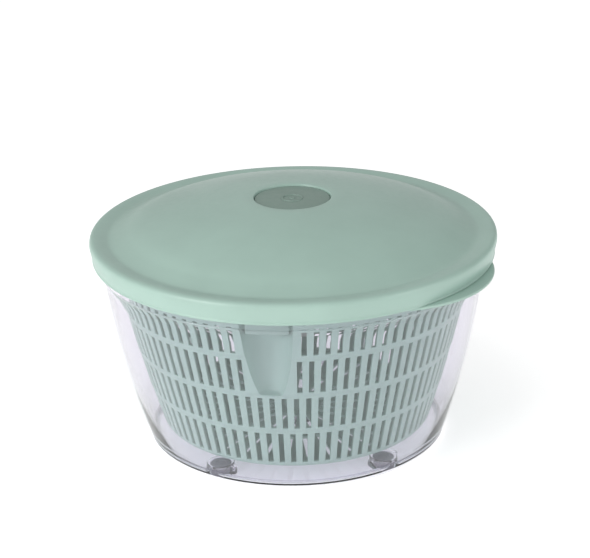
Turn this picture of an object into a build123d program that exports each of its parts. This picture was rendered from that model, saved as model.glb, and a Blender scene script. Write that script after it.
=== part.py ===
"""Salad spinner: clear bowl, slotted basket and domed lid with a flush pump knob that spins the basket.

Millimetres, +Z up. The origin is on the spin axis, in the plane that the rubber feet stand on. The lid's
finger tab points along +X. The knob is drawn pressed down and parked, flush with the lid.
"""

from build123d import *
import os
from math import atan2, cos, degrees, radians, sin

# ---- driving dimensions: overall --------------------------------------------------------------------
lid_radius = 130.0
lid_top_z = 158.4
tab_reach = 136.8

# ---- bowl -------------------------------------------------------------------------------------------
bowl_base_z = 0.4
bowl_wall = 2.6
bowl_corner_radius = 97.4
bowl_corner_z = 3.4
bowl_flat_radius = 94.5
bowl_mid_radius = 112.7
bowl_mid_z = 60.0
bowl_neck_radius = 122.9
bowl_neck_z = 120.8
bowl_lip_radius = 125.6
bowl_rim_z = 128.0
pivot_boss_radius = 7.0
pivot_boss_z = 10.5
foot_count = 5
foot_first_angle = -89.0
foot_circle_radius = 86.3
foot_socket_radius = 10.5
foot_socket_z = 9.4
foot_pad_radius = 6.9
foot_pad_z = 7.4
pin_radius = 2.0
pin_foot_z = 1.8
pin_tip_z = 19.8

# ---- basket -----------------------------------------------------------------------------------------
basket_floor_z = 12.5
basket_floor = 2.2
basket_wall = 2.0
basket_corner = 2.5
basket_base_radius = 88.0
basket_taper = 0.266
basket_rim_z = 121.3
basket_bead = 1.6
basket_bead_z = 117.6
slot_width = 3.2
slot_reach = 20.0
slot_rows = [(15.6, 38.0), (42.4, 65.2), (69.6, 92.6), (97.0, 116.0)]
full_row_slots = {0: 80, 1: 86}
full_row_starts = {0: 2.25, 1: 0.0}
half_row_slots = {2: 43, 3: 44}
half_row_gaps = {2: 19.5, 3: 22.1}
floor_slot_rings = [(16.0, 44.0, 18), (50.0, 80.0, 36)]
recess_angles = [-63.5, 116.5]
recess_foot_z = 67.0
recess_stand_out = 3.0
recess_radii = [8.2, 14.2, 16.6]
recess_skin = 2.0
basket_hub_radius = 8.0
basket_hub_z = 23.0
cup_radius = 6.0
cup_z = 21.0
running_gap = 0.05

# ---- lid --------------------------------------------------------------------------------------------
lid_wall = 2.2
skirt_foot_z = 123.4
skirt_foot_radius = 128.2
skirt_top_z = 133.4
bead_crown = (126.0, 137.1)
trough = (119.0, 136.2)
well_radius = 24.5
well_foot_z = 140.6
tab_centre_x = 67.0
tab_foot_z = 121.8
tab_top_z = 123.6
tab_inner_radius = 126.2
seal_inner_radius = 120.2
seal_outer_radius = 125.4
seal_foot_z = 128.4
seal_top_z = 133.6
seal_rib_radius = 119.2
seal_rib_wall = 1.8

# ---- pump -------------------------------------------------------------------------------------------
knob_radius = 24.1
knob_top_z = 157.3
knob_wall = 1.7
knob_disc = 2.1
knob_ring_radii = (6.3, 7.0)
knob_pip_radius = 1.9
knob_mark_height = 0.3
knob_stroke = 26.0
housing_foot_z = 124.2
housing_floor = 2.5
housing_inner_radius = 24.9
housing_flange_z = 140.5
housing_flange_radius = 43.0
housing_flange = 2.5
housing_bore = 6.0
housing_screw_circle = 38.0
housing_screw_radius = 1.5
housing_head_radius = 3.0
housing_head_height = 2.4
boss_radius = 4.0
boss_top_z = 155.4
boss_hole_z = 150.0
spigot_radius = 11.5
spigot_bore = 9.0
spigot_foot_z = 116.4
clip_z = 117.4
clip_thickness = 1.0
clip_depth = 0.7
clip_outer_radius = 13.9
spindle_width = 8.0
spindle_thickness = 2.4
spindle_lead = 40.0
spindle_foot_z = 78.6
spindle_top_z = 151.5
spindle_pin_z = 146.0
stop_pin_z = 81.2
spindle_clearance_radius = 4.25
spindle_pin_radius = 1.2
spindle_pin_length = 13.6
stop_pin_radius = 0.8
stop_pin_length = 13.0
stop_collar_radius = 6.8
stop_collar_half_height = 2.0
core_tube_radius = 7.0
core_foot_z = 138.0
nut_radius = 8.7
nut_foot_z = 118.8
nut_top_z = 122.9
nut_slot_gap = 0.25
tooth_inner_radius = 6.0
tooth_height = 1.4
washer_gap = 0.2
washer_top_z = 124.0
tooth_count = 6
spring_radius = 11.0
spring_wire_radius = 0.7
spring_turns = 7
spring_foot_z = 127.7
spring_top_z = 152.4
spring_seat_radii = (8.0, 13.0)

# ---- drive plate ------------------------------------------------------------------------------------
plate_radius = 116.5
plate_foot_z = 121.8
plate_top_z = 123.6
plate_rib_top_z = 126.4
plate_rib_count = 8
plate_rib_first_angle = 15.0
plate_rib_width = 1.8
plate_rib_reach = (30.0, 110.0)
hub_radius = 17.5
hub_foot_z = 109.5
hub_bore = 13.0
hub_recess_radius = 15.0
hub_shoulder_z = 119.3
bush_foot_z = 118.7
clutch_flange_z = 112.0
clutch_teeth_z = 115.6
cup_tube_inner = 8.0
cup_tube_outer = 9.8
cup_tube_floor_z = 77.3
cup_flange_radius = 25.2
cup_flange_z = 107.3
cup_floor = 1.8
cup_screw_circle = 21.0
cup_screw_radius = 1.2
cup_head_radius = 2.4
cup_head_height = 1.6
cup_screw_tip_z = 116.0
lug_foot_z = 113.0
lug_radii = (106.5, 112.5)
lug_curve_radius = 15.3
lug_curve_centre = 120.1
screw_count = 3


def ring(inner, outer, low, high):
    """A plain ring about the spin axis. An inner radius of 0 gives a disc."""
    body = Pos(0, 0, low) * Cylinder(outer, high - low, align=(Align.CENTER, Align.CENTER, Align.MIN))
    if inner > 0:
        body -= Pos(0, 0, low) * Cylinder(inner, high - low, align=(Align.CENTER, Align.CENTER, Align.MIN))
    return body


def post(radius, low, high, distance, angle):
    """A round post that stands beside the spin axis."""
    place = Pos(distance * cos(radians(angle)), distance * sin(radians(angle)), low)
    return place * Cylinder(radius, high - low, align=(Align.CENTER, Align.CENTER, Align.MIN))


def turned(edges):
    """The solid that a closed outline of (radius, z) edges makes when it is turned about the spin axis."""
    return revolve(Plane.XZ * make_face(edges), Axis.Z)


def around(count, first=0.0):
    """Evenly spaced angles in degrees."""
    return [first + 360.0 * i / count for i in range(count)]


def basket_radius(z):
    """Outer radius of the basket's wall."""
    return basket_base_radius + basket_taper * (z - basket_floor_z)


def solids(*shapes):
    """One compound of separate solids."""
    return Compound(children=[s.solid() if isinstance(s, Part) else s for s in shapes])


# ---- bowl -------------------------------------------------------------------------------------------
def make_bowl():
    floor_z = bowl_base_z + bowl_wall
    inner_corner = (bowl_corner_radius - bowl_wall, bowl_corner_z + bowl_wall)
    inner_top = (bowl_neck_radius - bowl_wall, bowl_rim_z - 0.8)
    outline = [
        Line((0, bowl_base_z), (bowl_flat_radius, bowl_base_z)),
        ThreePointArc((bowl_flat_radius, bowl_base_z), (bowl_corner_radius - 0.85, bowl_base_z + 0.88),
                      (bowl_corner_radius, bowl_corner_z)),
        ThreePointArc((bowl_corner_radius, bowl_corner_z), (bowl_mid_radius, bowl_mid_z),
                      (bowl_neck_radius, bowl_neck_z)),
        Polyline((bowl_neck_radius, bowl_neck_z), (bowl_lip_radius, bowl_neck_z),
                 (bowl_lip_radius, bowl_rim_z - 0.8), (bowl_lip_radius - 0.8, bowl_rim_z),
                 (inner_top[0] + 0.8, bowl_rim_z), inner_top),
        ThreePointArc(inner_top, (bowl_mid_radius - bowl_wall, bowl_mid_z), inner_corner),
        ThreePointArc(inner_corner, (inner_corner[0] - 1.2, floor_z + 0.8), (inner_corner[0] - 4.0, floor_z)),
        Polyline((inner_corner[0] - 4.0, floor_z), (0, floor_z), (0, bowl_base_z)),
    ]
    bowl = turned(outline) + ring(0, pivot_boss_radius, floor_z - 1.0, pivot_boss_z)
    for angle in around(foot_count, foot_first_angle):
        bowl += post(foot_socket_radius, bowl_base_z + 1.5, foot_socket_z, foot_circle_radius, angle)
    for angle in around(foot_count, foot_first_angle):
        bowl -= post(foot_pad_radius, bowl_base_z - 1.0, foot_pad_z, foot_circle_radius, angle)
    return bowl - ring(0, pin_radius, pin_foot_z, pivot_boss_z)


def make_foot_pads():
    pads = [post(foot_pad_radius, 0, foot_pad_z, foot_circle_radius, a)
            for a in around(foot_count, foot_first_angle)]
    return solids(*pads)


def make_pivot_pin():
    pin = ring(0, pin_radius, pin_foot_z, pin_tip_z)
    return chamfer(pin.edges().sort_by(Axis.Z)[-1], 0.6)


# ---- basket -----------------------------------------------------------------------------------------
def make_recess(skin):
    """A finger recess, or the same thing larger by a skin, at angle 0."""
    foot, middle, top = [r + skin for r in recess_radii]
    height = basket_rim_z - recess_foot_z
    outline = [
        Line((0, -skin), (foot, -skin)),
        ThreePointArc((foot, -skin), (middle, 0.5 * height), (top, height + 6.0)),
        Polyline((top, height + 6.0), (0, height + 6.0), (0, -skin)),
    ]
    tilt = degrees(atan2(basket_taper, 1.0))
    place = Pos(basket_radius(recess_foot_z) + recess_stand_out, 0, recess_foot_z) * Rot(0, tilt, 0)
    return place * turned(outline)


def slot_angles(row):
    """Angles of the slots in a row. Two lower rows go all the way round. In the two upper rows the slots
    run from one finger recess to the next, with a gap between the slots on each side of a recess."""
    if row in full_row_slots:
        return around(full_row_slots[row], recess_angles[0] + full_row_starts[row])
    count, gap = half_row_slots[row], half_row_gaps[row]
    step = (180.0 - gap) / (count - 1)
    return [angle + 0.5 * gap + i * step for angle in recess_angles for i in range(count)]


def make_basket():
    floor_top = basket_floor_z + basket_floor
    low, high = basket_floor_z + basket_corner, basket_rim_z
    outer_low, outer_high = basket_radius(low), basket_radius(high)
    bead = outer_high + basket_bead
    body = turned([
        Line((0, basket_floor_z), (outer_low - basket_corner, basket_floor_z)),
        RadiusArc((outer_low - basket_corner, basket_floor_z), (outer_low, low), -basket_corner),
        Line((outer_low, low), (outer_high, high)),
        Polyline((outer_high, high), (0, high), (0, basket_floor_z)),
    ])
    hollow = turned([
        Polyline((0, floor_top), (basket_radius(floor_top) - basket_wall, floor_top),
                 (outer_high - basket_wall, high), (0, high), (0, floor_top)),
    ])
    rim = turned([
        Polyline((basket_radius(basket_bead_z) - 1.0, basket_bead_z), (bead, basket_bead_z + basket_bead),
                 (bead, high), (outer_high - 1.0, high), (basket_radius(basket_bead_z) - 1.0, basket_bead_z)),
    ])
    basket = body - hollow + rim
    for angle in recess_angles:
        basket += (Rot(0, 0, angle) * make_recess(recess_skin)) & body
        basket -= Rot(0, 0, angle) * make_recess(0.0)
    basket += ring(0, basket_hub_radius, basket_floor_z, basket_hub_z)
    basket -= ring(0, cup_radius, basket_floor_z - 1.0, cup_z)
    cutters = []
    for row, (slot_low, slot_high) in enumerate(slot_rows):
        middle = basket_radius(0.5 * (slot_low + slot_high))
        place = Pos(middle, 0, 0.5 * (slot_low + slot_high))
        cutter = place * Box(slot_reach, slot_width, slot_high - slot_low)
        cutters += [Rot(0, 0, a) * cutter for a in slot_angles(row)]
    for inner, outer, count in floor_slot_rings:
        middle = Pos(0.5 * (inner + outer), 0, basket_floor_z)
        cutter = middle * Box(outer - inner, slot_width, 4 * basket_floor)
        cutters += [Rot(0, 0, a) * cutter for a in around(count)]
    return basket - cutters


def make_pivot_cup():
    cup = ring(0, cup_radius, pivot_boss_z + 1.1, cup_z)
    return cup - ring(0, pin_radius + running_gap, pivot_boss_z, pin_tip_z + 0.15)


# ---- lid --------------------------------------------------------------------------------------------
def make_lid_shell():
    outer = [(well_radius, lid_top_z), (60.0, 154.2), (94.0, 145.6), (112.0, 138.2), trough, bead_crown]
    inner = [(119.5, 133.9), (111.5, 135.9), (93.5, 143.3), (60.0, 151.9), (well_radius + lid_wall, 156.1)]
    edge = (lid_radius, skirt_top_z)
    shell = turned([
        Line((well_radius, well_foot_z), (well_radius, lid_top_z)),
        Spline(*outer, tangents=[(1, -0.05), (1, 0)]),
        ThreePointArc(bead_crown, (lid_radius - 1.1, bead_crown[1] - 1.2), edge),
        Polyline(edge, (skirt_foot_radius, skirt_foot_z), (skirt_foot_radius - lid_wall, skirt_foot_z),
                 (lid_radius - lid_wall, skirt_top_z), (lid_radius - 4.0, bead_crown[1] - lid_wall),
                 inner[0]),
        Spline(*inner, tangents=[(-1, 0.1), (-1, 0.05)]),
        Polyline(inner[-1], (well_radius + lid_wall, well_foot_z), (well_radius, well_foot_z)),
    ])
    shell += ring(seal_rib_radius - seal_rib_wall, seal_rib_radius, seal_foot_z + 1.2, trough[1] - 1.0)
    for angle in around(screw_count, 30.0):
        shell += post(boss_radius, well_foot_z - 0.1, boss_top_z, housing_screw_circle, angle)
        shell -= post(housing_screw_radius, well_foot_z - 1.0, boss_hole_z, housing_screw_circle, angle)
    return shell + make_tab()


def make_tab():
    """The crescent finger tab, moulded on the foot of the skirt."""
    crescent = Pos(tab_centre_x, 0, tab_foot_z) * Cylinder(
        tab_reach - tab_centre_x, tab_top_z - tab_foot_z, align=(Align.CENTER, Align.CENTER, Align.MIN))
    crescent = chamfer(crescent.edges().sort_by(Axis.Z)[-1], 0.9)
    inside = ring(0, tab_inner_radius, tab_foot_z - 1.0, tab_top_z + 1.0)
    return crescent - inside


def make_lid_seal():
    width = seal_outer_radius - seal_inner_radius
    return turned([
        Polyline((seal_inner_radius, seal_foot_z + 1.0), (seal_inner_radius + 1.0, seal_foot_z),
                 (seal_inner_radius + width - 1.0, seal_foot_z), (seal_outer_radius, seal_foot_z + 1.0),
                 (seal_outer_radius, seal_top_z), (seal_inner_radius + 1.2, seal_top_z),
                 (seal_inner_radius, seal_top_z - 1.2), (seal_inner_radius, seal_foot_z + 1.0)),
    ])


# ---- pump -------------------------------------------------------------------------------------------
def make_drive_housing():
    floor_top = housing_foot_z + housing_floor
    wall_radius = housing_inner_radius + lid_wall
    flange_foot = housing_flange_z - housing_flange
    housing = ring(0, wall_radius, housing_foot_z, housing_flange_z)
    housing += ring(wall_radius - 1.0, housing_flange_radius, flange_foot, housing_flange_z)
    housing -= ring(0, housing_inner_radius, floor_top, housing_flange_z)
    housing += ring(spigot_bore, spigot_radius, spigot_foot_z, housing_foot_z + 0.5)
    housing -= ring(0, housing_bore, spigot_foot_z, floor_top)
    housing -= ring(spigot_radius - clip_depth, spigot_radius + 1.0, clip_z, clip_z + clip_thickness)
    for angle in around(screw_count, 30.0):
        housing -= post(housing_screw_radius, flange_foot, housing_flange_z, housing_screw_circle, angle)
    return housing


def make_screws(head_radius, shank_radius, head_z, seat_z, tip_z, circle, first):
    """Screws that point up: a round head with a cross slot, and a plain shank."""
    screws = []
    for angle in around(screw_count, first):
        head = post(head_radius, head_z, seat_z, circle, angle)
        shank = post(shank_radius, seat_z, tip_z, circle, angle)
        place = Pos(circle * cos(radians(angle)), circle * sin(radians(angle)), head_z)
        slots = [place * Box(head_radius * 1.3, 0.7, 1.6), place * Box(0.7, head_radius * 1.3, 1.6)]
        screws.append(head + shank - slots)
    return solids(*screws)


def make_housing_screws():
    seat = housing_flange_z - housing_flange
    return make_screws(housing_head_radius, housing_screw_radius, seat - housing_head_height, seat,
                       boss_hole_z - 1.0, housing_screw_circle, 30.0)


def make_spring_seat():
    return ring(*spring_seat_radii, housing_foot_z + housing_floor, spring_foot_z)


def make_thrust_washer():
    return ring(housing_bore - 0.5, nut_radius, nut_top_z + washer_gap, washer_top_z)


def make_retaining_ring():
    return ring(spigot_radius - clip_depth, clip_outer_radius, clip_z, clip_z + clip_thickness)


def make_knob_cap():
    skirt_foot = housing_foot_z + housing_floor + 0.3
    cap = ring(0, knob_radius, knob_top_z - knob_disc, knob_top_z)
    cap = fillet(cap.edges().sort_by(Axis.Z)[-1], 0.8)
    cap += ring(knob_radius - knob_wall, knob_radius, skirt_foot, knob_top_z - knob_disc + 0.1)
    cap += ring(*knob_ring_radii, knob_top_z - 0.5, knob_top_z + knob_mark_height)
    return cap + ring(0, knob_pip_radius, knob_top_z - 0.5, knob_top_z + knob_mark_height)


def make_knob_core():
    core = ring(0, knob_radius - knob_wall - 0.1, spring_top_z, knob_top_z - knob_disc)
    core += ring(0, core_tube_radius, core_foot_z, spring_top_z + 0.5)
    core -= ring(0, spindle_clearance_radius, core_foot_z, spindle_top_z + 0.4)
    return core - make_spindle_pin()


def spindle_angle(z):
    """Turn of the twisted bar at a height, in degrees. Its flat side faces +X at the spindle pin."""
    return (z - spindle_pin_z) * 360.0 / spindle_lead


def cross_pin(radius, length, z):
    """A pin through the flat of the bar."""
    return Rot(0, 0, spindle_angle(z)) * Pos(0, 0, z) * Rot(0, 90, 0) * Cylinder(radius, length)


def make_spindle_pin():
    return cross_pin(spindle_pin_radius, spindle_pin_length, spindle_pin_z)


def make_stop_pin():
    return cross_pin(stop_pin_radius, stop_pin_length, stop_pin_z)


def twisted_bar(gap, low, high):
    """The spindle's twisted flat bar, or the same thing larger by a gap all round."""
    section = Pos(0, 0, low) * Rot(0, 0, spindle_angle(low)) * Rectangle(
        spindle_thickness + 2 * gap, spindle_width + 2 * gap)
    return Solid.extrude_linear_with_rotation(
        section.face(), center=(0, 0, low), normal=(0, 0, high - low),
        angle=spindle_angle(high) - spindle_angle(low))


def make_twisted_spindle():
    bar = Part() + twisted_bar(0.0, spindle_foot_z, spindle_top_z)
    return bar - make_spindle_pin() - make_stop_pin()


def make_stop_collar():
    low, high = stop_pin_z - stop_collar_half_height, stop_pin_z + stop_collar_half_height
    return ring(spindle_clearance_radius, stop_collar_radius, low, high) - make_stop_pin()


def dog_teeth(low, high):
    """Every other sector of a ring, as a list of separate teeth."""
    reach = 2 * nut_radius
    half = radians(180.0 / tooth_count)
    sector = make_face(Polyline((0, 0), (reach, 0), (reach * cos(half), reach * sin(half)), (0, 0)))
    gaps = [Rot(0, 0, a) * Pos(0, 0, low) * extrude(sector, high - low) for a in around(tooth_count)]
    return list((ring(tooth_inner_radius, nut_radius - 0.1, low, high) - gaps).solids())


def make_drive_nut():
    nut = ring(0, nut_radius, nut_foot_z, nut_top_z) + dog_teeth(nut_foot_z - tooth_height, nut_foot_z + 0.2)
    return nut - twisted_bar(nut_slot_gap, nut_foot_z - 2.0, nut_top_z + 0.5)


def make_return_spring():
    rise = spring_top_z - spring_foot_z - 2 * spring_wire_radius
    coil = Helix(pitch=rise / spring_turns, height=rise, radius=spring_radius)
    section = Plane(origin=coil @ 0, z_dir=coil % 0) * Circle(spring_wire_radius)
    return Pos(0, 0, spring_foot_z + spring_wire_radius) * sweep(section, path=coil, is_frenet=True)


# ---- drive plate ------------------------------------------------------------------------------------
def make_drive_plate():
    plate = ring(hub_bore, plate_radius, plate_foot_z, plate_top_z)
    plate += ring(hub_bore, hub_radius, hub_shoulder_z, plate_top_z)
    plate += ring(hub_recess_radius, hub_radius, hub_foot_z, plate_foot_z)
    rib_foot = plate_top_z - 0.5
    inner, outer = plate_rib_reach
    place = Pos(0.5 * (inner + outer), 0, 0.5 * (rib_foot + plate_rib_top_z))
    rib = place * Box(outer - inner, plate_rib_width, plate_rib_top_z - rib_foot)
    plate += [Rot(0, 0, a) * rib for a in around(plate_rib_count, plate_rib_first_angle)]
    for angle in around(screw_count):
        plate += post(cup_screw_radius + 2.6, hub_foot_z, plate_foot_z, cup_screw_circle, angle)
        plate -= post(cup_screw_radius, hub_foot_z, cup_screw_tip_z + 2.0, cup_screw_circle, angle)
    for angle in recess_angles:
        lug = post(lug_curve_radius, lug_foot_z, plate_foot_z, lug_curve_centre, angle)
        plate += lug & ring(*lug_radii, lug_foot_z, plate_foot_z)
    return plate


def make_hub_bush():
    return ring(spigot_radius + running_gap, hub_bore, bush_foot_z, plate_top_z)


def make_clutch_ring():
    clutch = ring(tooth_inner_radius, hub_recess_radius - 0.1, hub_foot_z, clutch_flange_z)
    clutch += ring(tooth_inner_radius, nut_radius - 0.1, clutch_flange_z - 0.5, clutch_teeth_z)
    return clutch + dog_teeth(clutch_teeth_z - 0.2, clutch_teeth_z + tooth_height)


def make_spindle_cup():
    cup = ring(cup_tube_inner, cup_flange_radius, cup_flange_z, hub_foot_z)
    cup += ring(0, cup_tube_outer, cup_tube_floor_z - cup_floor, cup_flange_z)
    cup -= ring(0, cup_tube_inner, cup_tube_floor_z, cup_flange_z)
    for angle in around(screw_count):
        cup -= post(cup_screw_radius + 0.2, cup_flange_z, hub_foot_z, cup_screw_circle, angle)
    return cup


def make_cup_screws():
    return make_screws(cup_head_radius, cup_screw_radius, cup_flange_z - cup_head_height, cup_flange_z,
                       cup_screw_tip_z, cup_screw_circle, 0.0)


# ---- all the pieces ---------------------------------------------------------------------------------
pieces = {
    "bowl": make_bowl,
    "foot_pads": make_foot_pads,
    "basket_pivot_pin": make_pivot_pin,
    "basket": make_basket,
    "basket_pivot_cup": make_pivot_cup,
    "lid_shell": make_lid_shell,
    "lid_seal": make_lid_seal,
    "drive_housing": make_drive_housing,
    "housing_screws": make_housing_screws,
    "spring_seat": make_spring_seat,
    "return_spring": make_return_spring,
    "thrust_washer": make_thrust_washer,
    "retaining_ring": make_retaining_ring,
    "knob_cap": make_knob_cap,
    "knob_core": make_knob_core,
    "twisted_spindle": make_twisted_spindle,
    "spindle_pin": make_spindle_pin,
    "stop_collar": make_stop_collar,
    "stop_pin": make_stop_pin,
    "drive_nut": make_drive_nut,
    "drive_plate": make_drive_plate,
    "hub_bush": make_hub_bush,
    "clutch_ring": make_clutch_ring,
    "spindle_cup": make_spindle_cup,
    "cup_screws": make_cup_screws,
}

os.makedirs("parts", exist_ok=True)
for name, make in pieces.items():
    export_step(make(), f"parts/{name}.step")
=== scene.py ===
"""Salad spinner: clear bowl, slotted basket, domed lid with a finger tab and a flush pump knob."""

import math

import bmesh
import bpy
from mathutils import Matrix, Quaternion, Vector


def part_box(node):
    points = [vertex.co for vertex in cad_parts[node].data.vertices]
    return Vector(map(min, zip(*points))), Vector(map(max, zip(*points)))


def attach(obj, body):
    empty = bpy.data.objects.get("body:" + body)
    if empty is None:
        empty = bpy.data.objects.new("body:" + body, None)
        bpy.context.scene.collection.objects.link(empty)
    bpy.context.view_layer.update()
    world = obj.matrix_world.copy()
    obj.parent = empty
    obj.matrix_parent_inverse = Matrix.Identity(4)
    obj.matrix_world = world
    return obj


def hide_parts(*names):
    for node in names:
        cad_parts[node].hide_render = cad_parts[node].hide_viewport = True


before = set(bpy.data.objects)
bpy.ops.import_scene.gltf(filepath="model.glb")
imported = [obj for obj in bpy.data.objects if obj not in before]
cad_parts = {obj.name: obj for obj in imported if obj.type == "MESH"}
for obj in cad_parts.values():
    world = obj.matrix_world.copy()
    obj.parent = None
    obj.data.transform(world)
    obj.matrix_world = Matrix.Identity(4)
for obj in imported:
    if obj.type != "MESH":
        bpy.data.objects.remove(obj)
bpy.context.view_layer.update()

bl_info = {
    "name": "Salad spinner",
    "version": (1, 0, 0),
    "blender": (4, 5, 0),
    "location": "3D View > Sidebar > Spinner",
    "description": "Builds a salad spinner piece by piece round its working parts",
    "category": "Object",
}

# ---- the frame's own sizes, in metres -----------------------------------------------------------------
bowl_low, bowl_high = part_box("bowl")
basket_low, basket_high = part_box("basket")
lid_low, lid_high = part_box("lid_shell")
knob_low, knob_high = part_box("knob_cap")

MM = 0.001
FULL_TURN = 2.0 * math.pi
MERGE_GAP = 1e-6
ROUND_STEPS = 192
SMOOTH_ANGLE = math.radians(38.0)


# ---- what a user may change ---------------------------------------------------------------------------
def length(name, description, default):
    """A length in metres, shown in the scene's own unit."""
    return bpy.props.FloatProperty(name=name, description=description, default=default, unit="LENGTH",
                                   precision=4)


def turn(name, description, default):
    """An angle, kept in radians and shown in degrees."""
    return bpy.props.FloatProperty(name=name, description=description, default=math.radians(default),
                                   subtype="ANGLE")


def colour(name, description, default):
    """A colour in linear light."""
    return bpy.props.FloatVectorProperty(name=name, description=description, default=default,
                                         subtype="COLOR", min=0.0, max=1.0)


class SpinnerSizes(bpy.types.PropertyGroup):
    """Sizes of the pieces that are modelled here."""

    wall: length("Bowl wall", "Thickness of the clear bowl", 2.6 * MM)
    bowl_flat: length("Bowl flat", "Radius of the bowl's flat underside", 94.5 * MM)
    bowl_corner: length("Bowl corner", "Outer radius of the bowl above its base corner", 97.4 * MM)
    bowl_middle: length("Bowl middle", "Outer radius of the bowl at 60 mm above the ground", 112.7 * MM)
    bowl_neck: length("Bowl neck", "Outer radius of the bowl under its lip", 122.9 * MM)
    foot_circle: length("Foot circle", "Distance of the feet from the spin axis", 86.3 * MM)
    foot_first: turn("First foot", "Direction of the first foot", -89.0)
    foot_radius: length("Foot radius", "Radius of a rubber foot", 6.3 * MM)
    foot_height: length("Foot height", "Height of a rubber foot", 6.6 * MM)
    socket_radius: length("Socket radius", "Outer radius of a foot's clear socket", 10.5 * MM)
    basket_wall: length("Basket wall", "Thickness of the basket", 2.0 * MM)
    slot_width: length("Slot width", "Width of a basket slot", 3.2 * MM)
    slot_round: length("Slot rounding", "Radius on the edges of the slots", 0.75 * MM)
    recess_turn: turn("Recess direction", "Direction of the first finger recess", -63.5)
    recess_foot: length("Recess foot", "Height of the recess's lower end", 67.0 * MM)
    lid_wall: length("Lid wall", "Thickness of the lid", 2.2 * MM)
    knob_drop: length("Knob drop", "How far the knob's disc lies under the lid's crown", 1.1 * MM)


class SpinnerFinishes(bpy.types.PropertyGroup):
    """Colours of the mouldings."""

    lid: colour("Lid", "Sage green of the lid", (0.345, 0.49, 0.43))
    knob: colour("Knob", "Darker green of the knob", (0.195, 0.28, 0.24))
    basket: colour("Basket", "Pale green of the basket", (0.37, 0.515, 0.455))
    # the bowl's lilac tint is partly the plastic's own and partly painted shade of a dim lavender backdrop
    # seen through its walls
    clear: colour("Clear plastic", "Tint of the bowl", (0.865, 0.853, 0.9))
    # painted shade: the dark lilac that the bowl takes where it is seen edge on stands in for dark
    # surroundings seen through its edges
    clear_rim_painted_shade: colour("Clear plastic's edges", "Tint of the bowl where it's seen edge on", (0.36, 0.35, 0.52))
    # painted highlight: the pale glow along the bowl's base edge, where the clear plastic gathers light
    edge_painted_highlight: colour("Base edge", "Tint of the bowl's bright lower edge", (0.92, 0.92, 0.96))
    rubber: colour("Rubber", "Grey of the feet", (0.11, 0.11, 0.125))
    white: colour("White plastic", "Colour of the drive parts", (0.62, 0.64, 0.62))
    steel: colour("Steel", "Colour of pins, screws and the spring", (0.55, 0.56, 0.57))


class SpinnerStudio(bpy.types.PropertyGroup):
    """Camera and lights."""

    azimuth: turn("Azimuth", "Direction that the camera looks from, round the spin axis", 35.0)
    elevation: turn("Elevation", "Height of the camera above the horizon", 22.68)
    roll: turn("Roll", "Turn of the camera about its own axis", -1.31)
    tilt: turn("Tilt", "How far the camera looks above the middle of the object", 1.196)
    distance: length("Distance", "Camera to the middle of the object", 1.2)
    aim_height: length("Aim height", "Height of the point that the camera stands level with", 75.0 * MM)
    lens: bpy.props.FloatProperty(name="Lens", description="Focal length in millimetres", default=112.38)
    sky: bpy.props.FloatProperty(name="Sky", description="Strength of the light from the bright side",
                                 default=0.85)
    shade: bpy.props.FloatProperty(name="Shade", description="Strength of the light from the dim side",
                                   default=0.3)
    key: bpy.props.FloatProperty(name="Key", description="Power of the key light, in watts", default=12.0)
    fill: bpy.props.FloatProperty(name="Fill", description="Power of the fill light, in watts", default=7.0)
    back: bpy.props.FloatProperty(name="Back", description="Power of the rear light, in watts", default=0.6)
    top: bpy.props.FloatProperty(name="Top", description="Power of the overhead light, in watts", default=1.5)
    glow: bpy.props.FloatProperty(name="Glow", description="Light that the table gives off", default=0.52)


# ---- bench tools --------------------------------------------------------------------------------------
def clear_bench():
    """Leaves edit mode and drops every selection, so that an operator acts on nothing old."""
    if bpy.context.object and bpy.context.object.mode != "OBJECT":
        bpy.ops.object.mode_set(mode="OBJECT")
    bpy.ops.object.select_all(action="DESELECT")


def take(piece):
    """Makes one piece the only one that operators act on."""
    clear_bench()
    piece.select_set(True)
    bpy.context.view_layer.objects.active = piece
    return piece


def arc(centre, radius, start, end, count):
    """Points of an arc in the plane of a profile; angles in degrees from the outward direction."""
    angles = [math.radians(start + (end - start) * i / count) for i in range(count + 1)]
    return [(centre[0] + radius * math.cos(a), centre[1] + radius * math.sin(a)) for a in angles]


def bow(first, middle, last, count):
    """Points of a smooth curve through three points, none of them doubled."""
    points = []
    for i in range(count + 1):
        t = i / count
        a, b, c = (1 - t) * (1 - 2 * t), 4 * t * (1 - t), t * (2 * t - 1)
        points.append(tuple(a * f + b * m + c * e for f, m, e in zip(first, middle, last)))
    return points


def flow(knots, per_span):
    """Points of a smooth run through all the knots, by Catmull and Rom's rule."""
    ends = [tuple(2 * a - b for a, b in zip(knots[0], knots[1])), *knots,
            tuple(2 * a - b for a, b in zip(knots[-1], knots[-2]))]
    points = [knots[0]]
    for p0, p1, p2, p3 in zip(ends, ends[1:], ends[2:], ends[3:]):
        for i in range(1, per_span + 1):
            t = i / per_span
            points.append(tuple(
                0.5 * (2 * b + (c - a) * t + (2 * a - 5 * b + 4 * c - d) * t**2
                       + (3 * b - a - 3 * c + d) * t**3)
                for a, b, c, d in zip(p0, p1, p2, p3)))
    return points


def draw_profile(name, profile):
    """A new piece that holds a profile of (radius, height) points, drawn by extruding its first point."""
    clear_bench()
    bpy.ops.mesh.primitive_plane_add(size=MM, location=(0, 0, 0))
    piece = bpy.context.object
    piece.name = name
    bpy.ops.object.mode_set(mode="EDIT")
    bpy.ops.mesh.merge(type="CENTER")
    bpy.ops.transform.translate(value=(profile[0][0], 0, profile[0][1]))
    for (r0, z0), (r1, z1) in zip(profile, profile[1:]):
        bpy.ops.mesh.extrude_region_move(TRANSFORM_OT_translate={"value": (r1 - r0, 0, z1 - z0)})
    return piece


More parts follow.
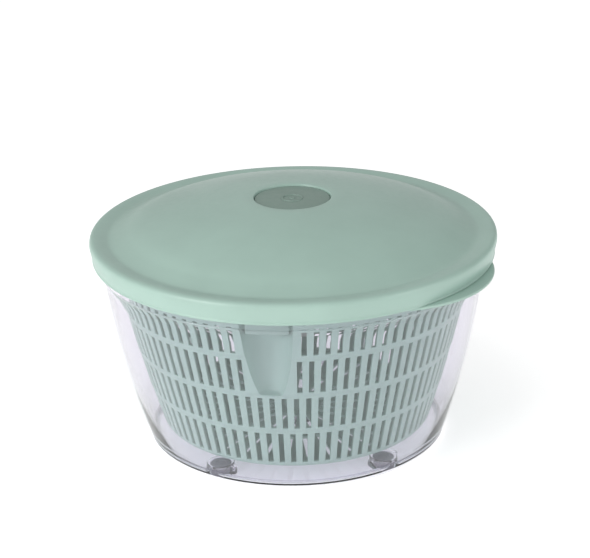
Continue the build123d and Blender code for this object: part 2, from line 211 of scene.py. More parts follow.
def spin_profile(name, profile, steps=ROUND_STEPS):
    """A closed solid of revolution. The profile runs round the section and ends where it began,
    or starts and ends on the axis."""
    piece = draw_profile(name, profile)
    bpy.ops.mesh.select_all(action="SELECT")
    bpy.ops.mesh.spin(steps=steps, angle=FULL_TURN, center=(0, 0, 0), axis=(0, 0, 1))
    bpy.ops.mesh.select_all(action="SELECT")
    bpy.ops.mesh.remove_doubles(threshold=MERGE_GAP)
    bpy.ops.mesh.normals_make_consistent(inside=False)
    bpy.ops.object.mode_set(mode="OBJECT")
    return piece


def spin_open(name, profile, steps):
    """An open skin of revolution, ready to be joined to its neighbours."""
    piece = draw_profile(name, profile)
    bpy.ops.mesh.select_all(action="SELECT")
    bpy.ops.mesh.spin(steps=steps, angle=FULL_TURN, center=(0, 0, 0), axis=(0, 0, 1))
    bpy.ops.mesh.select_all(action="SELECT")
    bpy.ops.mesh.remove_doubles(threshold=MERGE_GAP)
    bpy.ops.object.mode_set(mode="OBJECT")
    return piece


def apply_modifier(piece, kind, **settings):
    """Adds a modifier with these settings and applies it."""
    take(piece)
    modifier = piece.modifiers.new(kind.title(), kind)
    for key, value in settings.items():
        setattr(modifier, key, value)
    bpy.ops.object.modifier_apply(modifier=modifier.name)


def combine(piece, tool, operation):
    """Adds, cuts or keeps what is shared with another solid, which is used up."""
    apply_modifier(piece, "BOOLEAN", object=tool, operation=operation, solver="EXACT")
    bpy.data.objects.remove(tool)


def join(pieces):
    """One piece made of several, named as the first."""
    take(pieces[0])
    for piece in pieces:
        piece.select_set(True)
    bpy.ops.object.join()
    return pieces[0]


def settle(piece):
    """Puts a piece's place, turn and scale into its mesh."""
    take(piece)
    bpy.ops.object.transform_apply(location=True, rotation=True, scale=True)


def around(count, first=0.0):
    """Evenly spaced directions round the spin axis, in radians."""
    return [first + FULL_TURN * i / count for i in range(count)]


def copies_round(piece, count, first, distance):
    """Copies of a piece that stands on the axis, moved out to a circle, each with its own mesh."""
    made = []
    for angle in around(count, first):
        take(piece)
        bpy.ops.object.duplicate()
        copy = bpy.context.object
        copy.location = (distance * math.cos(angle), distance * math.sin(angle), 0)
        copy.rotation_euler.z = angle
        settle(copy)
        made.append(copy)
    bpy.data.objects.remove(piece)
    return made


def finish_piece(piece, body, slot, material, *nodes, angle=SMOOTH_ANGLE):
    """Smooths a piece, gives it its material and says what it rides on and stands for."""
    settle(piece)
    bpy.ops.object.shade_smooth_by_angle(angle=angle, keep_sharp_edges=True)
    piece.data.materials.clear()
    piece.data.materials.append(material)
    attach(piece, body)
    if nodes:
        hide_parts(*nodes)


# ---- finishes -----------------------------------------------------------------------------------------
PLASTIC_IOR = 1.49
LILAC_TINT_AND_SHADE = (0.28, 0.235, 0.5, 1.0)   # partly what a thick stretch of the clear plastic lets through, partly painted shade of a dim lavender backdrop


def node(tree, kind, **inputs):
    """A node with some of its inputs set."""
    made = tree.nodes.new(kind)
    for name, value in inputs.items():
        made.inputs[name.replace("_", " ")].default_value = value
    return made


def noise(tree, place, size, detail=3.0, roughness=0.55):
    """Noise whose features are about one size across, in metres."""
    made = node(tree, "ShaderNodeTexNoise", Scale=1.0 / size, Detail=detail, Roughness=roughness)
    tree.links.new(place, made.inputs["Vector"])
    return made.outputs["Fac"]


def spread(tree, source, low, high):
    """Maps noise, which stays near its middle, to a range."""
    made = node(tree, "ShaderNodeMapRange", From_Min=0.3, From_Max=0.7, To_Min=low, To_Max=high)
    tree.links.new(source, made.inputs["Value"])
    return made.outputs["Result"]


def start_material(name):
    """A new material with its tree, its shader and the object's own coordinates."""
    material = bpy.data.materials.new(name)
    material.use_nodes = True
    tree = material.node_tree
    place = tree.nodes.new("ShaderNodeTexCoord").outputs["Object"]
    return material, tree, tree.nodes["Principled BSDF"], place


def vary_colour(tree, place, shader, base, size, amount):
    """Clouds a base colour a little lighter and darker, as pigment does in a moulding."""
    mix = tree.nodes.new("ShaderNodeMix")
    mix.data_type = "RGBA"
    mix.inputs["A"].default_value = (*[c * (1.0 - amount) for c in base], 1.0)
    mix.inputs["B"].default_value = (*[min(c * (1.0 + amount), 1.0) for c in base], 1.0)
    tree.links.new(spread(tree, noise(tree, place, size), 0.0, 1.0), mix.inputs["Factor"])
    tree.links.new(mix.outputs["Result"], shader.inputs["Base Color"])


def grain(tree, place, shader, size, depth):
    """Fine relief, as the etched skin of a mould leaves."""
    bump = node(tree, "ShaderNodeBump", Distance=depth, Strength=1.0)
    tree.links.new(noise(tree, place, size, detail=2.0), bump.inputs["Height"])
    tree.links.new(bump.outputs["Normal"], shader.inputs["Normal"])


def moulded(name, base, rough, cloud=0.035, amount=0.03, grain_size=0.0009, grain_depth=0.00001):
    """Coloured moulded plastic: clouded pigment, uneven gloss and a fine etched grain."""
    material, tree, shader, place = start_material(name)
    vary_colour(tree, place, shader, base, cloud, amount)
    tree.links.new(spread(tree, noise(tree, place, 0.004), rough * 0.9, rough * 1.12),
                   shader.inputs["Roughness"])
    grain(tree, place, shader, grain_size, grain_depth)
    shader.inputs["IOR"].default_value = PLASTIC_IOR
    return material


def clear_plastic(name, tint, painted_rim_shade, rough=0.025):
    """Clear plastic that light from lamps and from matt surfaces passes straight through. Its lilac tint is
    partly its own and partly painted shade, and where it is seen edge on it gets a painted dark outline.
    """
    material, tree, shader, place = start_material(name)
    # painted shade: where the surface is seen edge on, the base colour turns to the dark rim colour, a
    # painted outline
    edge = node(tree, "ShaderNodeLayerWeight", Blend=0.5)
    rim_shade_weight = node(tree, "ShaderNodeMapRange", From_Min=0.8, From_Max=1.0, To_Min=0.0, To_Max=1.0)
    tree.links.new(edge.outputs["Facing"], rim_shade_weight.inputs["Value"])
    mix = tree.nodes.new("ShaderNodeMix")
    mix.data_type = "RGBA"
    mix.inputs["A"].default_value = (*tint, 1.0)
    mix.inputs["B"].default_value = (*painted_rim_shade, 1.0)
    tree.links.new(rim_shade_weight.outputs["Result"], mix.inputs["Factor"])
    tree.links.new(mix.outputs["Result"], shader.inputs["Base Color"])
    tree.links.new(spread(tree, noise(tree, place, 0.02), rough * 0.6, rough * 1.4),
                   shader.inputs["Roughness"])
    grain(tree, place, shader, 0.03, 0.00002)
    shader.inputs["IOR"].default_value = PLASTIC_IOR
    shader.inputs["Transmission Weight"].default_value = 1.0
    path = tree.nodes.new("ShaderNodeLightPath")
    # light from lamps and matt surfaces takes half of the tint, painted shade included
    passing = node(tree, "ShaderNodeBsdfTransparent", Color=(*[0.5 + 0.5 * c for c in tint], 1.0))
    last = shader.outputs["BSDF"]
    for ray in ("Is Diffuse Ray", "Is Shadow Ray"):
        mix = tree.nodes.new("ShaderNodeMixShader")
        tree.links.new(path.outputs[ray], mix.inputs[0])
        tree.links.new(last, mix.inputs[1])
        tree.links.new(passing.outputs["BSDF"], mix.inputs[2])
        last = mix.outputs["Shader"]
    tree.links.new(last, tree.nodes["Material Output"].inputs["Surface"])
    # lilac absorption: partly the plastic's own, partly painted shade of a dim lavender backdrop
    depth = node(tree, "ShaderNodeVolumeAbsorption", Color=LILAC_TINT_AND_SHADE, Density=5.0)
    tree.links.new(depth.outputs["Volume"], tree.nodes["Material Output"].inputs["Volume"])
    return material


def painted_highlight_plastic(name, base):
    """Painted highlight: a pale, soft material, only part see-through, that stands in for the light that
    clear plastic gathers along a thick edge.
    """
    material, tree, shader, place = start_material(name)
    vary_colour(tree, place, shader, base, 0.03, 0.04)
    tree.links.new(spread(tree, noise(tree, place, 0.02), 0.2, 0.3), shader.inputs["Roughness"])
    shader.inputs["IOR"].default_value = PLASTIC_IOR
    shader.inputs["Transmission Weight"].default_value = 0.12
    return material


def steel(name, base):
    """Drawn steel: fine scratches along the work and a slightly uneven polish."""
    material, tree, shader, place = start_material(name)
    vary_colour(tree, place, shader, base, 0.006, 0.08)
    stretch = node(tree, "ShaderNodeMapping", Scale=(1.0, 1.0, 14.0))
    tree.links.new(place, stretch.inputs["Vector"])
    tree.links.new(spread(tree, noise(tree, stretch.outputs["Vector"], 0.003), 0.2, 0.42),
                   shader.inputs["Roughness"])
    grain(tree, stretch.outputs["Vector"], shader, 0.002, 0.000004)
    shader.inputs["Metallic"].default_value = 1.0
    return material


def rubber(name, base):
    """Matt rubber with a fine dusty grain."""
    material, tree, shader, place = start_material(name)
    vary_colour(tree, place, shader, base, 0.003, 0.14)
    tree.links.new(spread(tree, noise(tree, place, 0.001), 0.6, 0.85), shader.inputs["Roughness"])
    grain(tree, place, shader, 0.0005, 0.00003)
    return material


def finish(kind):
    """The material of one finish, made the first time that it is asked for."""
    colours = bpy.context.scene.spinner_finishes
    makers = {
        "lid": lambda: moulded("sage_lid", colours.lid, 0.36),
        "knob": lambda: moulded("sage_knob", colours.knob, 0.42),
        "basket": lambda: moulded("sage_basket", colours.basket, 0.42, cloud=0.02, amount=0.02),
        "clear": lambda: clear_plastic("clear_bowl_plastic", colours.clear, colours.clear_rim_painted_shade),
        # painted highlight material for the bowl's base edge
        "edge": lambda: painted_highlight_plastic("clear_bowl_painted_highlight", colours.edge_painted_highlight),
        "silicone": lambda: moulded("pale_silicone", (0.62, 0.66, 0.66), 0.45),
        "rubber": lambda: rubber("grey_rubber", colours.rubber),
        "white": lambda: moulded("white_drive_plastic", colours.white, 0.4),
        "steel": lambda: steel("drawn_steel", colours.steel),
    }
    made = bpy.data.materials.get(MATERIAL_NAMES[kind])
    return made or makers[kind]()


MATERIAL_NAMES = {
    "lid": "sage_lid", "knob": "sage_knob", "basket": "sage_basket", "clear": "clear_bowl_plastic",
    "edge": "clear_bowl_painted_highlight",
    "silicone": "pale_silicone", "rubber": "grey_rubber", "white": "white_drive_plastic",
    "steel": "drawn_steel",
}

# the CAD nodes that show as they are, by finish
CAD_FINISHES = {
    "silicone": ["lid_seal"],
    "basket": ["drive_plate"],
    "white": ["basket_pivot_cup", "drive_housing", "thrust_washer", "knob_core", "stop_collar",
              "drive_nut", "hub_bush", "clutch_ring", "spindle_cup"],
    "steel": ["basket_pivot_pin", "housing_screws", "spring_seat", "return_spring", "retaining_ring",
              "twisted_spindle", "spindle_pin", "stop_pin", "cup_screws"],
}


# ---- bowl ---------------------------------------------------------------------------------------------
class SPINNER_OT_bowl(bpy.types.Operator):
    """Make the clear bowl with its foot sockets and pivot boss"""

    bl_idname = "spinner.bowl"
    bl_label = "Bowl"

    def execute(self, context):
        size = context.scene.spinner_sizes
        base, rim, lip = bowl_low.z, bowl_high.z, bowl_high.x
        floor, wall = base + size.wall, size.wall
        corner, mid_z, ledge = base + 3.0 * MM, 60.0 * MM, 120.8 * MM
        inner_lip = size.bowl_neck - wall
        flare_radius, flare_low = 10.0 * MM, ledge - 8.0 * MM
        neck = size.bowl_neck - 1.2 * MM
        flare_centre = (neck + 0.99 * flare_radius, flare_low - 1.48 * MM)
        outside = bow((size.bowl_corner, corner), (size.bowl_middle, mid_z),
                      (neck, flare_low), 22)
        flare = arc(flare_centre, flare_radius, 171.5, 127, 8)[1:]
        inside = bow((inner_lip, rim - 0.8 * MM), (size.bowl_middle - wall, mid_z),
                     (size.bowl_corner - wall, corner + wall), 22)
        turn_radius = size.bowl_corner - size.bowl_flat
        foot = arc((size.bowl_flat, base + turn_radius), turn_radius, -90, -8, 6)
        pit_radius = 4.0 * MM
        pit = arc((size.bowl_corner - wall - pit_radius, floor + pit_radius), pit_radius, 0, -90, 6)
        boss_radius, boss_top, pin_radius, pin_foot = 7.0 * MM, 10.5 * MM, 2.0 * MM, 1.8 * MM
        profile = [
            (0, base), *foot, *outside, *flare, (lip, flare[-1][1] + 0.5 * MM),
            (lip, rim - 0.9 * MM), (lip - 0.9 * MM, rim), (inner_lip + 0.9 * MM, rim), *inside, *pit,
            (boss_radius + 1.5 * MM, floor), (boss_radius, floor + 1.5 * MM),
            (boss_radius, boss_top - 0.5 * MM), (boss_radius - 0.5 * MM, boss_top),
            (pin_radius, boss_top), (pin_radius, pin_foot), (0, pin_foot),
        ]
        bowl = spin_profile("clear_bowl", profile)
        self.add_sockets(bowl, size, floor)
        finish_piece(bowl, "bowl", "clear_plastic", finish("clear"), "bowl")
        # painted highlight: the base edge gets a pale, nearly opaque material
        self.paint_edge_highlight(bowl, size, base)
        return {"FINISHED"}

    def paint_edge_highlight(self, bowl, size, base):
        """Paints a highlight on the outer turn of the base, where a clear moulding gathers light, by giving
        it the pale material.
        """
        bowl.data.materials.append(finish("edge"))
        highlight_slot, edge_height, clearance = 1, 3.2 * MM, 0.1 * MM
        for face in bowl.data.polygons:
            low = face.center.z < base + edge_height
            if low and face.center.xy.length > size.bowl_flat + clearance:
                face.material_index = highlight_slot

    def add_sockets(self, bowl, size, floor):
        """Raised clear rings for the feet, open at the bowl's underside."""
        top, flare, lead = 8.6 * MM, 1.9 * MM, 0.9 * MM
        bore, bore_top = size.foot_radius + 0.15 * MM, size.foot_height + 0.1 * MM
        ring = [(0, floor - lead), (size.socket_radius, floor - lead), (size.socket_radius, floor),
                *arc((size.socket_radius, floor + flare), flare, -100, -180, 5),
                *arc((size.socket_radius - flare - MM, top - MM), MM, 0, 90, 4), (0, top)]
        hole = [(0, -2 * MM), (bore, -2 * MM), (bore, bore_top), (0, bore_top)]
        boss, pin_hole, boss_top = 2.3 * MM, 0.8 * MM, 7.6 * MM
        peg = [(0, floor - lead), (boss, floor - lead), (boss, boss_top - 0.5 * MM),
               (boss - 0.5 * MM, boss_top), (pin_hole, boss_top), (pin_hole, floor + 1.5 * MM),
               (0, floor + 1.5 * MM)]
        beside = (size.socket_radius - flare + 0.6 * MM) / size.foot_circle
        for name, section, first, operation in (
                ("socket", ring, size.foot_first, "UNION"), ("bore", hole, size.foot_first, "DIFFERENCE"),
                ("peg", peg, size.foot_first + beside, "UNION")):
            tool = spin_profile(name, section, steps=48)
            tools = copies_round(tool, 5, first, size.foot_circle)
            combine(bowl, join(tools), operation)


class SPINNER_OT_feet(bpy.types.Operator):
    """Make the five rubber feet"""

    bl_idname = "spinner.feet"
    bl_label = "Feet"

    def execute(self, context):
        size = context.scene.spinner_sizes
        edge, dish = 0.7 * MM, 3.6 * MM
        top = size.foot_height
        profile = [
            (0, 0.35 * MM), (dish, 0.35 * MM), (dish + 0.6 * MM, 0),
            *arc((size.foot_radius - edge, edge), edge, -90, 0, 4),
            *arc((size.foot_radius - edge, top - edge), edge, 0, 90, 4),
            (dish, top), (dish - 0.6 * MM, top - 0.5 * MM), (0, top - 0.5 * MM),
        ]
        pad = spin_profile("pad", profile, steps=48)
        feet = join(copies_round(pad, 5, size.foot_first, size.foot_circle))
        feet.name = "rubber_feet"
        finish_piece(feet, "bowl", "grey_rubber", finish("rubber"), "foot_pads")
        return {"FINISHED"}


# ---- basket -------------------------------------------------------------------------------------------
# rows of slots: lower edge, upper edge (mm), slots in a full turn, first slot in pitches from the
# finger recess, and slots left out at each recess
SLOT_ROWS = [
    (15.6, 38.0, 80, 0.5, 0),
    (42.4, 65.2, 86, 0.0, 0),
    (69.6, 92.6, 94, 0.5, 4),
    (97.0, 116.0, 98, 0.0, 5),
]
FLOOR_ROWS = [(16.0, 44.0, 18), (50.0, 80.0, 36)]
BASKET_BASE = 88.0 * MM
BASKET_TAPER = 0.266
RAIL_MARGIN = 1.9 * MM
STEP = 0.22 * MM


def basket_radius(z):
    """Outer radius of the basket's wall at a height."""
    return BASKET_BASE + BASKET_TAPER * (z - basket_low.z)


def bay_ring(name, low, high, slot_low, slot_high, count, first, slot_width, left_out=()):
    """A ring of bays, each with one slot. Low and high are the (radius, height) of the ring's edges,
    and slot_low and slot_high say how far between them the slot begins and ends."""
    half, slot_face = math.pi / count, 4
    clear_bench()
    bpy.ops.mesh.primitive_grid_add(x_subdivisions=3, y_subdivisions=3, size=MM)
    bay = bpy.context.object
    bay.name = name
    heights = [0.0, slot_low, slot_high, 1.0]
    sides = [-1.0, -0.5, 0.5, 1.0]
    for index, vertex in enumerate(bay.data.vertices):
        up, across = heights[index // 4], sides[index % 4]
        radius = low[0] + (high[0] - low[0]) * up
        z = low[1] + (high[1] - low[1]) * up
        angle = across * half if abs(across) == 1.0 else across * slot_width / radius
        vertex.co = (radius * math.cos(angle), radius * math.sin(angle), z)
    plain = bay.copy()
    plain.data = bay.data.copy()
    bpy.context.collection.objects.link(plain)
    take(bay)
    bpy.ops.object.mode_set(mode="EDIT")
    bpy.ops.mesh.select_all(action="DESELECT")
    shape = bmesh.from_edit_mesh(bay.data)
    shape.faces.ensure_lookup_table()
    shape.faces[slot_face].select = True
    bpy.ops.mesh.delete(type="FACE")
    bpy.ops.object.mode_set(mode="OBJECT")
    bays = []
    for i in range(count):
        source = plain if i in left_out else bay
        copy = source.copy()
        copy.data = source.data.copy()
        copy.rotation_euler.z = first + FULL_TURN * i / count
        bpy.context.collection.objects.link(copy)
        bays.append(copy)
    for source in (bay, plain):
        bpy.data.objects.remove(source)
    ring = join(bays)
    settle(ring)
    bpy.ops.object.mode_set(mode="EDIT")
    bpy.ops.mesh.select_all(action="SELECT")
    bpy.ops.mesh.remove_doubles(threshold=MERGE_GAP)
    bpy.ops.object.mode_set(mode="OBJECT")
    ring.name = name
    return ring


def bridge(piece, one, other):
    """Joins the two open loops that lie at two (radius, height) places."""
    take(piece)
    bpy.ops.object.mode_set(mode="EDIT")
    bpy.ops.mesh.select_mode(type="EDGE")
    bpy.ops.mesh.select_all(action="DESELECT")
    shape = bmesh.from_edit_mesh(piece.data)
    near = 0.06 * MM
    for edge in shape.edges:
        if not edge.is_boundary:
            continue
        for radius, z in (one, other):
            if all(abs(v.co.z - z) < near and abs(v.co.xy.length - radius) < near for v in edge.verts):
                edge.select_set(True)
    bmesh.update_edit_mesh(piece.data)
    bpy.ops.mesh.bridge_edge_loops()
    bpy.ops.mesh.select_mode(type="VERT")
    bpy.ops.object.mode_set(mode="OBJECT")


class SPINNER_OT_basket(bpy.types.Operator):
    """Make the slotted basket with its finger recesses"""

    bl_idname = "spinner.basket"
    bl_label = "Basket"

    def execute(self, context):
        size = context.scene.spinner_sizes
        parts, seams = self.make_floor(size)
        wall_parts, wall_seams = self.make_wall(size)
        basket = join(parts + wall_parts)
        basket.name = "slotted_basket"
        for one, other in seams + wall_seams:
            bridge(basket, one, other)
        take(basket)
        bpy.ops.object.mode_set(mode="EDIT")
        bpy.ops.mesh.select_all(action="SELECT")
        bpy.ops.mesh.remove_doubles(threshold=MERGE_GAP)
        bpy.ops.mesh.normals_make_consistent(inside=False)
        bpy.ops.object.mode_set(mode="OBJECT")
        self.face_outward(basket)
        apply_modifier(basket, "SOLIDIFY", thickness=size.basket_wall, offset=-1.0,
                       use_even_offset=True)
        apply_modifier(basket, "BEVEL", width=size.slot_round, segments=2, limit_method="ANGLE",
                       angle_limit=math.radians(50))
        self.cut_recesses(basket, size)
        finish_piece(basket, "basket", "sage_basket_plastic", finish("basket"), "basket")
        return {"FINISHED"}

    def make_floor(self, size):
        """The hub over the pivot, the slotted floor rings and the corner up to the wall."""
        z = basket_low.z
        socket_radius, socket_top, corner = 6.0 * MM, 21.0 * MM, 1.6 * MM
        hub = spin_open("hub", [(0, socket_top), (socket_radius, socket_top), (socket_radius, z),
                                (11.0 * MM, z)], 54)
        parts, seams, last = [hub], [], (11.0 * MM, z)
        for slot_in, slot_out, count in FLOOR_ROWS:
            low, high = ((slot_in - 2.5) * MM, z), ((slot_out + 2.5) * MM, z)
            run = high[0] - low[0]
            parts.append(bay_ring("floor_ring", low, high, 2.5 * MM / run, 1 - 2.5 * MM / run, count,
                                  0.0, size.slot_width))
            seams.append((last, low))
            last = high
        top = basket_radius(z + corner)
        bend = arc((top - corner, z + corner), corner, -90, -6, 4)
        edge = spin_open("corner", bend, 240)
        parts.append(edge)
        seams.append((last, bend[0]))
        self.corner_end = bend[-1]
        return parts, seams

    def make_wall(self, size):
        """Four rings of bays, and the rim above them."""
        parts, seams, last = [], [], self.corner_end
        for slot_low, slot_high, count, offset, left_out in SLOT_ROWS:
            z0 = max(slot_low * MM - RAIL_MARGIN, self.corner_end[1] + 0.2 * MM)
            z1 = slot_high * MM + RAIL_MARGIN
            pitch = FULL_TURN / count
            skipped = self.bays_at_recess(count, left_out)
            low, high = (basket_radius(z0) + STEP, z0), (basket_radius(z1) - STEP, z1)
            parts.append(bay_ring("row", low, high,
                                  (slot_low * MM - z0) / (z1 - z0), (slot_high * MM - z0) / (z1 - z0),
                                  count, size.recess_turn + offset * pitch, size.slot_width, skipped))
            seams.append((last, low))
            last = high
        rim_z, bead = basket_high.z, 1.6 * MM
        rim_radius = basket_radius(rim_z) + bead
        start = last[1] + 0.4 * MM
        rim = spin_open("rim", [(basket_radius(start), start), (rim_radius, start + bead),
                                (rim_radius, rim_z)], 294)
        parts.append(rim)
        seams.append((last, (basket_radius(start), start)))
        return parts, seams

    def bays_at_recess(self, count, left_out):
        """Numbers of the bays that have no slot, at both recesses."""
        if not left_out:
            return ()
        below = left_out // 2
        first = [i % count for i in range(-below, left_out - below)]
        return tuple(first + [(i + count // 2) % count for i in first])

    def face_outward(self, basket):
        """Turns the skin over if its wall faces the axis."""
        take(basket)
        wall = max(basket.data.polygons, key=lambda face: face.center.z)
        if wall.normal.dot(Vector((wall.center.x, wall.center.y, 0))) < 0:
            bpy.ops.object.mode_set(mode="EDIT")
            bpy.ops.mesh.select_all(action="SELECT")
            bpy.ops.mesh.flip_normals()
            bpy.ops.object.mode_set(mode="OBJECT")

    def recess(self, name, size, skin, angle):
        """The shape of a finger recess, or the same thing larger by a skin."""
        foot, middle, top = ((r * MM + skin) for r in (8.2, 14.2, 16.6))
        height = basket_high.z - size.recess_foot
        round_foot = 2.0 * MM
        side = bow((foot, round_foot - skin), (middle, 0.5 * height), (top, height + 6 * MM), 14)
        profile = [(0, -skin), *arc((foot - round_foot, round_foot - skin), round_foot, -90, -8, 4),
                   *side, (0, height + 6 * MM)]
        tool = spin_profile(name, profile, steps=72)
        stand_out = 3.0 * MM
        distance = basket_radius(size.recess_foot) + stand_out
        tool.rotation_euler = (0, math.atan(BASKET_TAPER), 0)
        tool.location = (distance, 0, size.recess_foot)
        settle(tool)
        tool.rotation_euler = (0, 0, angle)
        settle(tool)
        return tool

    def cut_recesses(self, basket, size):
        """Backs each recess with a skin inside the wall, then hollows it out."""
        inset = 0.8 * MM
        for angle in (size.recess_turn, size.recess_turn + math.pi):
            backing = self.recess("backing", size, size.basket_wall, angle)
            low, high = size.recess_foot - 6 * MM, basket_high.z - 1.0 * MM
            body = spin_profile("body", [(0, low), (basket_radius(low) - inset, low),
                                         (basket_radius(high) - inset, high), (0, high)], steps=120)
            combine(backing, body, "INTERSECT")
            combine(basket, backing, "UNION")
            combine(basket, self.recess("hollow", size, 0.0, angle), "DIFFERENCE")


# ---- lid ----------------------------------------------------------------------------------------------
class SPINNER_OT_lid(bpy.types.Operator):
    """Make the domed lid with its rolled edge, skirt and finger tab"""

    bl_idname = "spinner.lid"
    bl_label = "Lid"

    def execute(self, context):
        size = context.scene.spinner_sizes
        lid = spin_profile("domed_lid", self.section(size.lid_wall), steps=256)
        combine(lid, self.make_tab(), "UNION")
        finish_piece(lid, "lid", "sage_lid_plastic", finish("lid"), "lid_shell",
                     angle=math.radians(32))
        return {"FINISHED"}

    def section(self, wall):
        """The lid's wall: down the well, over the dome, round the edge and back underneath."""
        crown, radius = lid_high.z, -lid_low.x
        well, well_foot = 24.5 * MM, 140.6 * MM
        skirt_foot, skirt_top, foot_radius = 123.4 * MM, 133.0 * MM, 128.2 * MM
        bead_top = 137.15 * MM
        dome = flow([(well + 0.9 * MM, crown), (60 * MM, 154.2 * MM), (94 * MM, 145.6 * MM),
                     (107.5 * MM, 140.0 * MM), (113.6 * MM, 137.4 * MM), (117.4 * MM, 136.2 * MM),
                     (120.4 * MM, 136.45 * MM), (124.0 * MM, 137.05 * MM), (127.0 * MM, bead_top),
                     (128.9 * MM, 136.4 * MM), (radius - 0.2 * MM, 135.0 * MM), (radius, skirt_top)], 5)
        hem = [(foot_radius + 0.2 * MM, skirt_foot + 1.7 * MM), (foot_radius + 0.5 * MM, skirt_foot + MM),
               (foot_radius + 0.5 * MM, skirt_foot + 0.5 * MM)]
        rib, rib_foot, rib_wall = 119.2 * MM, 129.6 * MM, 1.8 * MM
        under = flow([(116.8 * MM, 134.3 * MM), (111.5 * MM, 135.9 * MM), (93.5 * MM, 143.3 * MM),
                      (60 * MM, 151.9 * MM), (well + wall + 0.6 * MM, 156.0 * MM)], 6)
        return [
            (well, well_foot), (well, crown - 0.7 * MM), (well + 0.25 * MM, crown - 0.18 * MM),
            *dome, *hem, (foot_radius, skirt_foot), (foot_radius - wall + 0.4 * MM, skirt_foot),
            (foot_radius - wall, skirt_foot + 0.4 * MM), (radius - wall, skirt_top),
            (radius - 4.0 * MM, bead_top - wall), (rib + 0.6 * MM, 134.1 * MM), (rib, 133.4 * MM),
            (rib, rib_foot), (rib - rib_wall, rib_foot), (rib - rib_wall, 133.6 * MM),
            *under, (well + wall, 155.2 * MM), (well + wall, well_foot), (well, well_foot),
        ]

    def make_tab(self):
        """The crescent finger tab on the foot of the skirt: a disc with the bowl's circle cut away."""
        centre, foot, top, inner = 67.0 * MM, 121.8 * MM, 123.6 * MM, 126.2 * MM
        reach = lid_high.x - centre
        lower, upper = 0.5 * MM, 0.8 * MM
        profile = [(0, foot), (reach - lower, foot), *arc((reach - lower, foot + lower), lower, -90, 0, 3),
                   *arc((reach - upper, top - upper), upper, 0, 90, 4), (0, top)]
        tab = spin_profile("tab", profile, steps=160)
        tab.location.x = centre
        settle(tab)
        hole = spin_profile("hole", [(0, foot - MM), (inner, foot - MM), (inner, top + MM),
                                     (0, top + MM)], steps=256)
        combine(tab, hole, "DIFFERENCE")
        return tab


class SPINNER_OT_knob(bpy.types.Operator):
    """Make the pump knob with the ring and pip on its disc"""

    bl_idname = "spinner.knob"
    bl_label = "Knob"

    def execute(self, context):
        size = context.scene.spinner_sizes
        radius, foot = knob_high.x, knob_low.z
        disc = lid_high.z - size.knob_drop
        wall, edge, mark = 1.7 * MM, 0.6 * MM, 0.45 * MM
        ring_in, ring_out, pip = 5.7 * MM, 7.0 * MM, 1.9 * MM
        profile = [
            (0, disc + mark), (pip - 0.25 * MM, disc + mark), (pip, disc), (ring_in, disc),
            (ring_in + 0.25 * MM, disc + mark), (ring_out - 0.25 * MM, disc + mark), (ring_out, disc),
            *arc((radius - edge, disc - edge), edge, 90, 0, 5), (radius, foot), (radius - wall, foot),
            (radius - wall, disc - 2.1 * MM), (0, disc - 2.1 * MM),
        ]
        knob = spin_profile("pump_knob", profile, steps=128)
        finish_piece(knob, "knob", "sage_knob_plastic", finish("knob"), "knob_cap")
        return {"FINISHED"}


class SPINNER_OT_works(bpy.types.Operator):
    """Give the seal and the drive parts their finishes"""

    bl_idname = "spinner.works"
    bl_label = "Seal and drive"

    def execute(self, context):
        for kind, names in CAD_FINISHES.items():
            for name in names:
                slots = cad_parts[name].material_slots
                for slot in slots:
                    slot.material = finish(kind)
        return {"FINISHED"}


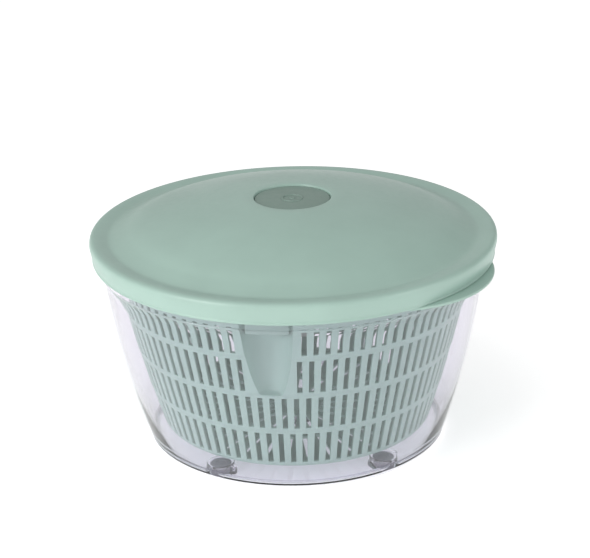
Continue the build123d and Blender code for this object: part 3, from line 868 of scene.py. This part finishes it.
# ---- studio -------------------------------------------------------------------------------------------
class SPINNER_OT_stage(bpy.types.Operator):
    """Set the floor, the soft lights and the camera"""

    bl_idname = "spinner.stage"
    bl_label = "Studio"

    def execute(self, context):
        studio = context.scene.spinner_studio
        self.make_floor(studio.glow)
        self.light_world(context.scene, studio)
        self.add_lamp("key_lamp", self.from_camera(studio, -1.2, 1.0, 0.72), 0.8, studio.key,
                      (1.0, 0.995, 0.985))
        self.add_lamp("fill_lamp", self.from_camera(studio, 1.4, 0.6, 0.8), 0.8, studio.fill,
                      (1.0, 1.0, 1.0))
        self.add_lamp("rear_lamp", self.from_camera(studio, 0.2, -1.5, 0.5), 1.0, studio.back,
                      (0.97, 0.96, 1.0))
        self.add_lamp("top_lamp", self.from_camera(studio, -0.2, 0.5, 1.5), 0.3, studio.top,
                      (1.0, 1.0, 1.0))
        self.place_camera(context.scene, studio)
        context.scene.view_settings.view_transform = "Standard"
        return {"FINISHED"}

    def from_camera(self, studio, side, front, height):
        """A place to the camera's right, towards the camera and above the floor."""
        a = studio.azimuth
        return (side * math.cos(a) + front * math.sin(a), side * math.sin(a) - front * math.cos(a),
                height)

    def make_floor(self, glow):
        """A wide pale table top, lit a little from inside, with a faint mottle."""
        clear_bench()
        bpy.ops.mesh.primitive_plane_add(size=8.0, location=(0, 0, 0))
        floor = bpy.context.object
        floor.name = "floor"
        material, tree, shader, place = start_material("pale_floor")
        vary_colour(tree, place, shader, (0.8, 0.8, 0.8), 0.4, 0.01)
        shader.inputs["Roughness"].default_value = 0.7
        shader.inputs["Emission Color"].default_value = (1.0, 1.0, 1.0, 1.0)
        shader.inputs["Emission Strength"].default_value = glow
        floor.data.materials.append(material)

    def light_world(self, scene, studio):
        """White light from all round, brighter from the camera's left, from in front and from low down."""
        world = bpy.data.worlds.new("studio")
        world.use_nodes = True
        tree = world.node_tree
        background = tree.nodes["Background"]
        background.inputs["Color"].default_value = (1.0, 1.0, 1.0, 1.0)
        place = tree.nodes.new("ShaderNodeTexCoord").outputs["Generated"]
        along = tree.nodes.new("ShaderNodeVectorMath")
        along.operation = "DOT_PRODUCT"
        along.inputs[1].default_value = self.from_camera(studio, -0.8, 0.5, -0.25)
        tree.links.new(place, along.inputs[0])
        strength = node(tree, "ShaderNodeMapRange", From_Min=-0.8, From_Max=0.8,
                        To_Min=studio.shade, To_Max=studio.sky)
        tree.links.new(along.outputs["Value"], strength.inputs["Value"])
        tree.links.new(strength.outputs["Result"], background.inputs["Strength"])
        scene.world = world

    def add_lamp(self, name, place, width, power, tint):
        """A square soft box that faces the object."""
        clear_bench()
        bpy.ops.object.light_add(type="AREA", location=place)
        lamp = bpy.context.object
        lamp.name = name
        lamp.data.size = width
        lamp.data.energy = power
        lamp.data.color = tint
        target = Vector((0, 0, 0.1))
        lamp.rotation_euler = (target - lamp.location).to_track_quat("-Z", "Y").to_euler()

    def place_camera(self, scene, studio):
        """Stands the camera level with a point on the spin axis, then tilts it up a little."""
        a, e = studio.azimuth, studio.elevation
        back = Vector((math.sin(a) * math.cos(e), -math.cos(a) * math.cos(e), math.sin(e)))
        clear_bench()
        bpy.ops.object.camera_add(location=Vector((0, 0, studio.aim_height)) + back * studio.distance)
        camera = bpy.context.object
        camera.rotation_mode = "QUATERNION"
        turn_about = Quaternion((0, 0, 1), studio.roll) @ Quaternion((1, 0, 0), studio.tilt)
        camera.rotation_quaternion = (-back).to_track_quat("-Z", "Y") @ turn_about
        camera.data.lens = studio.lens
        camera.data.sensor_width = 36.0
        camera.data.clip_start, camera.data.clip_end = 0.05, 30.0
        scene.camera = camera


# ---- panel and registration ---------------------------------------------------------------------------
PIECES = (SPINNER_OT_bowl, SPINNER_OT_feet, SPINNER_OT_basket, SPINNER_OT_lid, SPINNER_OT_knob,
          SPINNER_OT_works, SPINNER_OT_stage)
SETTINGS = {"spinner_sizes": SpinnerSizes, "spinner_finishes": SpinnerFinishes,
            "spinner_studio": SpinnerStudio}


class SPINNER_PT_panel(bpy.types.Panel):
    """Buttons for every piece, and the settings under them"""

    bl_idname = "SPINNER_PT_panel"
    bl_label = "Salad spinner"
    bl_space_type = "VIEW_3D"
    bl_region_type = "UI"
    bl_category = "Spinner"

    def draw(self, context):
        for piece in PIECES:
            self.layout.operator(piece.bl_idname)
        for name, group in SETTINGS.items():
            box = self.layout.box()
            for prop in group.__annotations__:
                box.prop(getattr(context.scene, name), prop)


def register():
    for group in SETTINGS.values():
        bpy.utils.register_class(group)
    for name, group in SETTINGS.items():
        setattr(bpy.types.Scene, name, bpy.props.PointerProperty(type=group))
    for item in (*PIECES, SPINNER_PT_panel):
        bpy.utils.register_class(item)


def unregister():
    for item in reversed((*PIECES, SPINNER_PT_panel)):
        bpy.utils.unregister_class(item)
    for name in SETTINGS:
        delattr(bpy.types.Scene, name)
    for group in reversed(list(SETTINGS.values())):
        bpy.utils.unregister_class(group)


def main():
    register()
    bpy.ops.spinner.bowl()
    bpy.ops.spinner.feet()
    bpy.ops.spinner.basket()
    bpy.ops.spinner.lid()
    bpy.ops.spinner.knob()
    bpy.ops.spinner.works()
    bpy.ops.spinner.stage()


if __name__ == "__main__":
    main()
